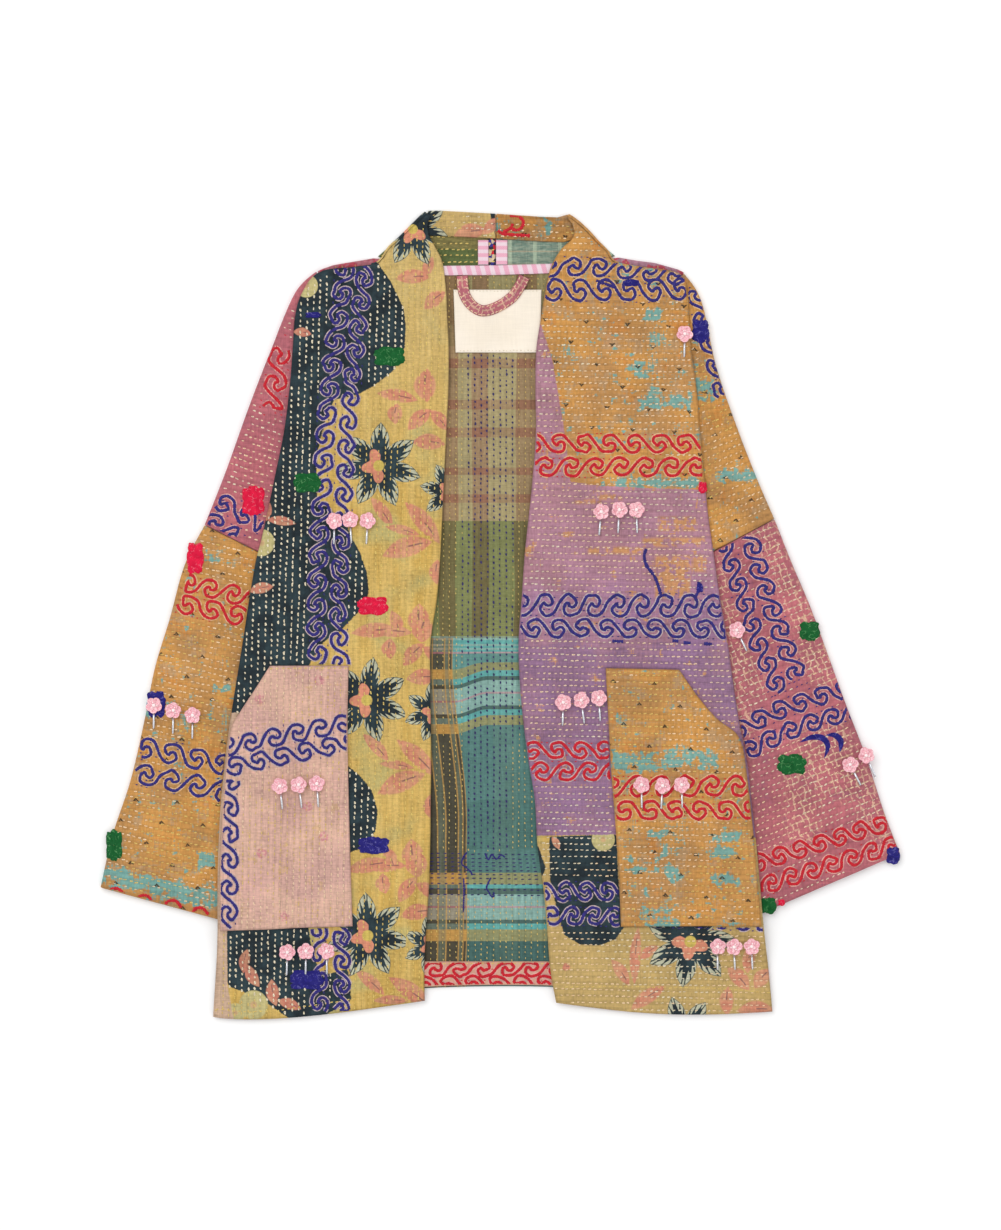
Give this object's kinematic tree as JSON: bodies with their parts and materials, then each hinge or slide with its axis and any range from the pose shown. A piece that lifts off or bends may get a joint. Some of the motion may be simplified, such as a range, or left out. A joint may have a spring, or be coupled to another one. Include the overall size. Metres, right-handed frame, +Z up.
{
  "type": "sequin jacket",
  "caption": "Hip-length quilted patchwork jacket with an open front, grown-on collar, patch pockets, wide sleeves and small sequin flowers, laid flat.",
  "frame": {"origin": "middle of the laid-out jacket's outline, on the surface that it lies on", "axes": "+Z up from that surface, +Y towards the collar, +X towards the wearer's left, which is the right as seen from above"},
  "size_m": [0.7977, 0.8078, 0.0155],
  "materials": {
    "yellow_print": "matt washed cotton, printed",
    "ochre_cotton": "matt washed cotton",
    "rose_cotton": "matt washed cotton",
    "blush_cotton": "matt washed cotton",
    "plaid_inside": "matt woven plaid cotton",
    "scroll_band": "matt washed cotton",
    "gingham": "matt checked cotton",
    "label_cotton": "plain soft cotton tape",
    "embroidery_thread": "satin cotton thread",
    "sequin": "glossy",
    "bugle_bead": "silver-lined glass"
  },
  "bodies": {
    "root": {"right_front": "yellow_print", "left_front": "ochre_cotton", "back_panel": "plaid_inside", "back_hem_turn": "scroll_band", "right_collar_back": "plaid_inside", "left_collar_back": "plaid_inside", "right_collar_turn": "yellow_print", "left_collar_turn": "ochre_cotton", "neck_binding": "gingham", "right_seam_tape": "gingham", "left_seam_tape": "gingham", "neck_label": "label_cotton", "hanging_loop": "rose_cotton", "right_pocket": "blush_cotton", "left_pocket": "ochre_cotton", "right_sleeve_upper": "rose_cotton", "right_sleeve_lower": "ochre_cotton", "left_sleeve_upper": "ochre_cotton", "left_sleeve_lower": "rose_cotton"}
  },
  "joints": []
}
